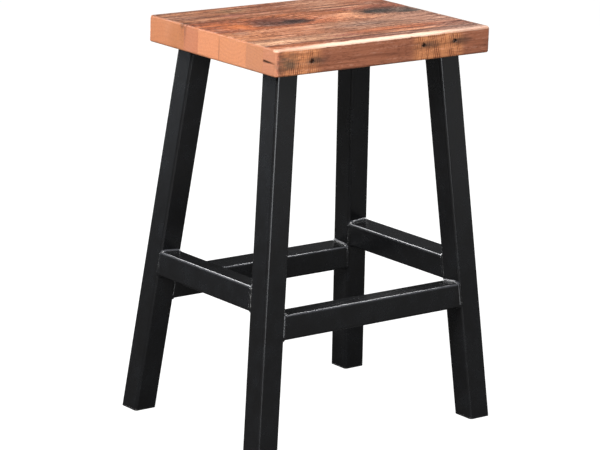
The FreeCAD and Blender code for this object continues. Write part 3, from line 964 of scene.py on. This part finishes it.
weldValues = {
    "bead": 4.5 * mm,
    "flushSink": 3.7 * mm,      # how deep the bead's centre lies under the flush faces
    "openSink": 0.6 * mm,       # and under the top and bottom of the rail
    "turn": 5 * mm,
    "ripple": 2.1 * mm,         # spacing of the ripples
    "rippleDepth": 0.07,        # share of the bead's radius
    "wander": 0.07,
    "topBead": 3.4 * mm,
    "topSink": 1.4 * mm,
    "perRipple": 4,             # points along one ripple
    "wanderScale": 150,
    "swell": 0.03,
}


def loopPoints(width, height, radius, spacing):
    # evenly spaced points round a rounded rectangle, with corners as arcs
    corner = math.pi / 2 * radius
    sides = [width - 2 * radius, height - 2 * radius] * 2
    total = sum(sides) + 4 * corner
    count = round(total / spacing)
    points = []
    for number in range(count):
        reach = total * number / count
        quarter = 0
        while reach > sides[quarter] + corner:
            reach -= sides[quarter] + corner
            quarter += 1
        # walk one side, then its corner, in a frame turned a quarter each time
        halfX, halfY = (width / 2, height / 2) if quarter % 2 == 0 else (height / 2, width / 2)
        if reach <= sides[quarter]:
            spot = Vector((-halfX + radius + reach, -halfY))
        else:
            angle = (reach - sides[quarter]) / radius
            turned = Vector((math.sin(angle), -math.cos(angle))) * radius
            spot = Vector((halfX - radius, radius - halfY)) + turned
        spot.rotate(Matrix.Rotation(quarter * math.pi / 2, 2))
        points.append(spot)
    return points


def layBead(name, rings, replaced):
    # each ring is (centre, right, up, width, height, radius): ripples of weld metal laid round a loop
    values = weldValues
    curve = bpy.data.curves.new(name, "CURVE")
    curve.dimensions = "3D"
    curve.bevel_depth = 1.0
    curve.bevel_resolution = 3
    perRipple = values["perRipple"]
    for centre, right, up, width, height, radius in rings:
        points = loopPoints(width, height, values["turn"], values["ripple"] / perRipple)
        spline = curve.splines.new("POLY")
        spline.points.add(len(points) - 1)
        spline.use_cyclic_u = True
        shift = random.uniform(0, 50)
        swell = 1.0
        for number, (point, flat) in enumerate(zip(spline.points, points)):
            if number % perRipple == 0:
                swell = random.uniform(-0.5, 0.5)
            step = number % perRipple / perRipple
            ripple = values["rippleDepth"] * (math.sin(math.pi * step) - 0.5)
            spot = (flat.x * values["wanderScale"], flat.y * values["wanderScale"], shift)
            drift = values["wander"] * noise.noise(Vector(spot))
            place = centre + right * flat.x + up * flat.y
            point.co = (*place, 1)
            point.radius = radius * (1 + ripple + drift + values["swell"] * swell)
    rope = addObject(name, curve)
    bm = bmesh.new()
    bm.from_mesh(drawnMesh(rope))
    bpy.data.objects.remove(rope)
    bmesh.ops.recalc_face_normals(bm, faces=bm.faces)
    finishPiece(bm, name, weldCoat, replaced)


def makeWelds():
    values = weldValues
    side = tubeValues["side"]
    width = side - 2 * values["flushSink"]
    height = side - 2 * values["openSink"]
    for rail, ends in railEnds.items():
        rings = []
        for corner in ends:
            leg = legAxes(corner)
            right = leg.deep if rail in ("front", "back") else leg.across
            rings.append((legFace(rail, corner)[0], right, leg.along, width, height, values["bead"]))
        layBead("weld_bead_" + rail, rings, ["weld_rail_" + rail])
    rings = []
    width = side - 2 * values["topSink"]
    for corner in corners:
        centre = levelCentre("leg_" + corner, legTop)
        rings.append((centre, Vector((1, 0, 0)), Vector((0, 1, 0)), width, width, values["topBead"]))
    layBead("weld_bead_seat_bars", rings, ["weld_seat_bars"])
    print("welds made")


makeWelds()


# flat bars, glides, screws and washers keep the shapes of the frame, with eased arrises

def easedCopy(node, name, material, ease, segments=2):
    bm = bmesh.new()
    bm.from_mesh(nodes[node].data)
    bmesh.ops.remove_doubles(bm, verts=bm.verts, dist=0.01 * mm)
    bmesh.ops.dissolve_limit(bm, angle_limit=math.radians(1), verts=bm.verts, edges=bm.edges)
    sharp = [e for e in bm.edges if len(e.link_faces) == 2 and e.calc_face_angle() > math.radians(30)]
    roundEdges(bm, sharp, ease, segments)
    finishPiece(bm, name, material, [node])


nylonValues = {
    "black": (14, 14, 15),
    "grey": (32, 32, 34),        # scuffed soles
    "lump": 0.7 * mm,
    "roughness": (0.42, 0.7),
}
zincValues = {
    "bright": (206, 208, 212),
    "dull": (150, 152, 158),
    "yellowed": (196, 190, 168),
    "lump": 0.4 * mm,
    "roughness": (0.28, 0.45),
}


def nylonMaterial():
    material, skin, coords = newMaterial("Black nylon")
    peel = useGroup(orangePeel, {"Vector": coords, "Lump": nylonValues["lump"]})
    scuff = fade(peel["Mottle"], 0.45, 0.75)
    sole = times(fade(split(coords)["Z"], 0.0, 0.9 * mm, 1.0, 0.2), scuff)
    colour = mixColor(sole, paint(*nylonValues["black"]), paint(*nylonValues["grey"]))
    feed(skin["Base Color"], colour)
    low, high = nylonValues["roughness"]
    feed(skin["Roughness"], spread(sole, low=low, high=high))
    bumped(skin, peel["Height"], 0.03 * mm, 0.5)
    return material


def zincMaterial():
    material, skin, coords = newMaterial("Zinc plate")
    peel = useGroup(orangePeel, {"Vector": coords, "Lump": zincValues["lump"]})
    blotch = fade(cloud(coords, 260, 4), 0.35, 0.7)
    colour = mixColor(blotch, paint(*zincValues["bright"]), paint(*zincValues["dull"]))
    colour = mixColor(fade(peel["Mottle"], 0.5, 0.8), colour, paint(*zincValues["yellowed"]))
    feed(skin["Base Color"], colour)
    skin["Metallic"].default_value = 1.0
    low, high = zincValues["roughness"]
    feed(skin["Roughness"], spread(blotch, low=low, high=high))
    bumped(skin, peel["Height"], 0.02 * mm, 0.4)
    return material


def makeHardware():
    nylon = nylonMaterial()
    zinc = zincMaterial()
    for side in ("front", "back", "left", "right"):
        easedCopy(f"seat_bar_{side}", f"flat_bar_{side}", coat, 0.5 * mm)
    for corner in corners:
        easedCopy(f"foot_glide_{corner}", f"glide_{corner}", nylon, 0.4 * mm)
    easedCopy("seat_screws", "pan_head_screws", zinc, 0.12 * mm, 1)
    easedCopy("screw_washers", "flat_washers", zinc, 0.15 * mm, 1)
    print("bars, glides and screws made")


makeHardware()


# studio

studioValues = {
    "floorSize": 20,
    "floorGlow": 0.985,          # the floor as it is seen, with a trace of shadow
    "floorShade": 0.10,
    "floorFront": 0.10,          # and how much it lights and shows in the steel, front to back
    "floorBack": 0.045,
    "floorTurn": (-0.7, 0.3),    # where front gives way to back
    "worldLow": 0.02,
    "worldHigh": 0.14,
    "worldRise": (0.15, 0.8),    # from how far up the sky brightens
    "worldTint": (0.93, 0.96, 1, 1),
    "aim": (0, 0, 0.35),         # what all the lights face
}

# place, size and watts of each light, and its colour
lightValues = {
    "key_left": ((-2.26, -0.58, 2.06), (1.2, 1.2), 192, (1.0, 0.98, 0.95)),
    "overhead_right": ((1.26, -0.08, 2.0), (0.45, 0.45), 22, (1, 1, 1)),
    "overhead_back": ((-0.21, 1.6, 1.72), (0.45, 0.45), 15, (1, 1, 1)),
    "front_fill": ((-0.8, -3.0, 0.9), (1.8, 1.4), 60, (0.95, 0.97, 1.0)),
    "front_card": ((1.6, -2.05, 0.5), (1.5, 0.9), 2.2, (1, 1, 1)),
    "back_left_card": ((-1.95, 2.3, 0.42), (1.6, 0.8), 1.7, (0.86, 0.92, 1.0)),
    "back_right_card": ((2.17, 1.99, 0.99), (0.9, 0.5), 0.3, (1, 1, 1)),
    "side_right": ((2.8, 0.4, 0.9), (1.5, 1.2), 50, (1, 1, 1)),
    "back_fill": ((-0.28, 2.75, 0.77), (0.9, 0.9), 45, (1, 1, 1)),
}


def makeFloor():
    values = studioValues
    bm = bmesh.new()
    bmesh.ops.create_grid(bm, x_segments=2, y_segments=2, size=values["floorSize"])
    bmesh.ops.translate(bm, vec=(0, 0, -0.2 * mm), verts=bm.verts)
    floor = addObject("studio_floor", meshFrom(bm, "studio_floor"))
    material = bpy.data.materials.new("Pale floor")
    tree = emptyTree(material)
    shade = values["floorShade"]
    matt = addNode(tree, "BsdfDiffuse", {"Color": (shade, shade, shade, 1)})
    glow = addNode(tree, "Emission", {"Color": (1, 1, 1, 1), "Strength": values["floorGlow"]})
    both = addNode(tree, "AddShader", {0: matt.outputs[0], 1: glow.outputs[0]})
    place = split(addNode(tree, "TexCoord").outputs["Object"])
    reflects = fade(place["Y"], *values["floorTurn"], values["floorFront"], values["floorBack"])
    grey = addNode(tree, "BsdfDiffuse", {"Color": reflects})
    seen = addNode(tree, "LightPath").outputs["Is Camera Ray"]
    surface = addNode(tree, "MixShader", {0: seen, 1: grey.outputs[0], 2: both.outputs[0]})
    addNode(tree, "OutputMaterial", {"Surface": surface.outputs[0]})
    floor.data.materials.append(material)


def makeWorld():
    values = studioValues
    world = bpy.data.worlds.new("Studio")
    scene.world = world
    tree = emptyTree(world)
    height = split(addNode(tree, "TexCoord").outputs["Generated"])["Z"]
    level = fade(height, *values["worldRise"], values["worldLow"], values["worldHigh"])
    sky = addNode(tree, "Background", {"Color": values["worldTint"], "Strength": level})
    white = addNode(tree, "Background", {"Color": (1, 1, 1, 1), "Strength": 1.0})
    seen = addNode(tree, "LightPath").outputs["Is Camera Ray"]
    surface = addNode(tree, "MixShader", {0: seen, 1: sky.outputs[0], 2: white.outputs[0]})
    addNode(tree, "OutputWorld", {"Surface": surface.outputs[0]})


def makeLights():
    for name, (place, size, watts, colour) in lightValues.items():
        lamp = bpy.data.lights.new(name, "AREA")
        lamp.shape = "RECTANGLE"
        lamp.size, lamp.size_y = size
        lamp.energy = watts
        lamp.color = colour
        light = addObject(name, lamp)
        light.location = place
        facing = Vector(studioValues["aim"]) - Vector(place)
        light.rotation_euler = facing.to_track_quat("-Z", "Y").to_euler()


cameraValues = {
    "azimuth": -38.634, "elevation": 14.359, "roll": 2.073,      # degrees
    "distance": 4.4445, "aim": (-0.0413, -0.0213, 0.3048), "lens": 177.6,
    "sensor": 36,
}


def makeCamera():
    values = cameraValues
    azimuth, elevation, roll = (math.radians(values[key]) for key in ("azimuth", "elevation", "roll"))
    back = Vector((math.sin(azimuth) * math.cos(elevation), -math.cos(azimuth) * math.cos(elevation),
                   math.sin(elevation)))
    right = (-back).cross(Vector((0, 0, 1))).normalized()
    up = back.cross(right)
    turnedRight = right * math.cos(roll) + up * math.sin(roll)
    turnedUp = up * math.cos(roll) - right * math.sin(roll)
    lens = bpy.data.cameras.new("stool_camera")
    lens.lens = values["lens"]
    lens.sensor_width = values["sensor"]
    camera = addObject("stool_camera", lens)
    turn = Matrix((turnedRight, turnedUp, back)).transposed().to_4x4()
    camera.matrix_world = Matrix.Translation(Vector(values["aim"]) + back * values["distance"]) @ turn
    scene.camera = camera


makeFloor()
makeWorld()
makeLights()
makeCamera()
scene.view_settings.view_transform = "Standard"
print("studio ready")
